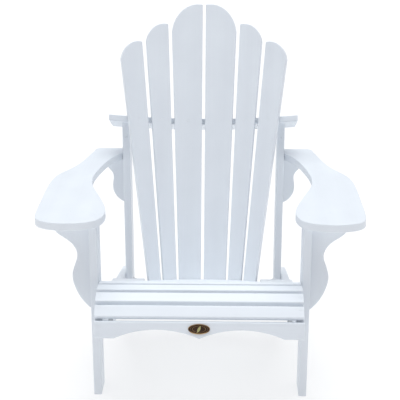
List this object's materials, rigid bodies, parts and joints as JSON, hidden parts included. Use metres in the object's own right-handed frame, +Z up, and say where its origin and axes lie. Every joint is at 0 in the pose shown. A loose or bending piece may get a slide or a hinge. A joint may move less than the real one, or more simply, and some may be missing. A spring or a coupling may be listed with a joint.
{
  "type": "adirondack chair",
  "caption": "Slatted wooden garden armchair with a raised fan-shaped back, broad paddle arms on curved brackets and a waterfall seat sloping down to the rear.",
  "frame": {"origin": "on the floor, under the middle of the bounding box", "axes": "+Z up, the chair faces -Y, +X to the right as seen by someone facing the chair's front"},
  "size_m": [0.8322, 0.9416, 0.9176],
  "materials": {
    "white_paint": "white exterior paint over planed boards, satin, faint grain",
    "badge_brass": "small oval plate with dark enamel field and polished rim",
    "zinc_steel": "zinc-plated bolts, washers and nuts",
    "painted_screw": "wood screws painted over with the boards"
  },
  "bodies": {
    "root": {"apron_screws": "painted_screw", "arm_left": "white_paint", "arm_right": "white_paint", "arm_screws": "painted_screw", "back_slat_centre_left": "white_paint", "back_slat_centre_right": "white_paint", "back_slat_middle_left": "white_paint", "back_slat_middle_right": "white_paint", "back_slat_outer_left": "white_paint", "back_slat_outer_right": "white_paint", "badge_pins": "badge_brass", "badge_plate": "badge_brass", "bracket_screws": "painted_screw", "front_apron": "white_paint", "front_bracket_left": "white_paint", "front_bracket_right": "white_paint", "front_leg_left": "white_paint", "front_leg_right": "white_paint", "leg_bolts": "zinc_steel", "leg_nuts": "zinc_steel", "leg_washers": "zinc_steel", "lower_back_rail": "white_paint", "lower_slat_screws": "painted_screw", "post_bolts": "zinc_steel", "post_nuts": "zinc_steel", "post_washers": "zinc_steel", "rail_screws": "painted_screw", "rear_bracket_left": "white_paint", "rear_bracket_right": "white_paint", "rear_post_left": "white_paint", "rear_post_right": "white_paint", "seat_rear_board": "white_paint", "seat_screws": "painted_screw", "seat_slat_01": "white_paint", "seat_slat_02": "white_paint", "seat_slat_03": "white_paint", "seat_slat_04": "white_paint", "seat_slat_05": "white_paint", "seat_slat_06": "white_paint", "seat_slat_07": "white_paint", "seat_slat_08": "white_paint", "seat_slat_09": "white_paint", "seat_slat_10": "white_paint", "seat_slat_11": "white_paint", "stringer_left": "white_paint", "stringer_right": "white_paint", "upper_back_rail": "white_paint", "upper_slat_screws": "painted_screw"}
  },
  "joints": []
}
